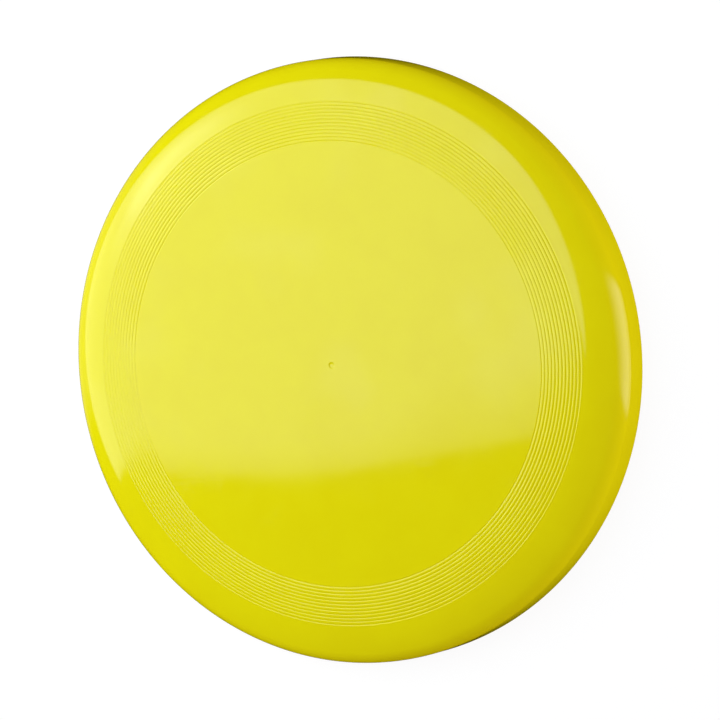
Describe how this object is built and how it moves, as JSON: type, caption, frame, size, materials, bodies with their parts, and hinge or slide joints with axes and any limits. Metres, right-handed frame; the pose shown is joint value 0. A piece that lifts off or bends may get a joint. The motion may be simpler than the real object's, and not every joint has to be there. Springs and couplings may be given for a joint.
{
  "type": "flying disc",
  "caption": "Shallow round throwing disc moulded in one piece, with fine concentric flight rings on top, a curved shoulder and a short flared rim, open underneath.",
  "frame": {"origin": "centre of the plane that the rim's lower edge stands on", "axes": "+Z along the disc's axis of symmetry, up through the flight plate"},
  "size_m": [0.212, 0.212, 0.0216],
  "materials": {
    "moulded_plastic": "glossy yellow"
  },
  "bodies": {
    "root": {"disc": "moulded_plastic"}
  },
  "joints": []
}
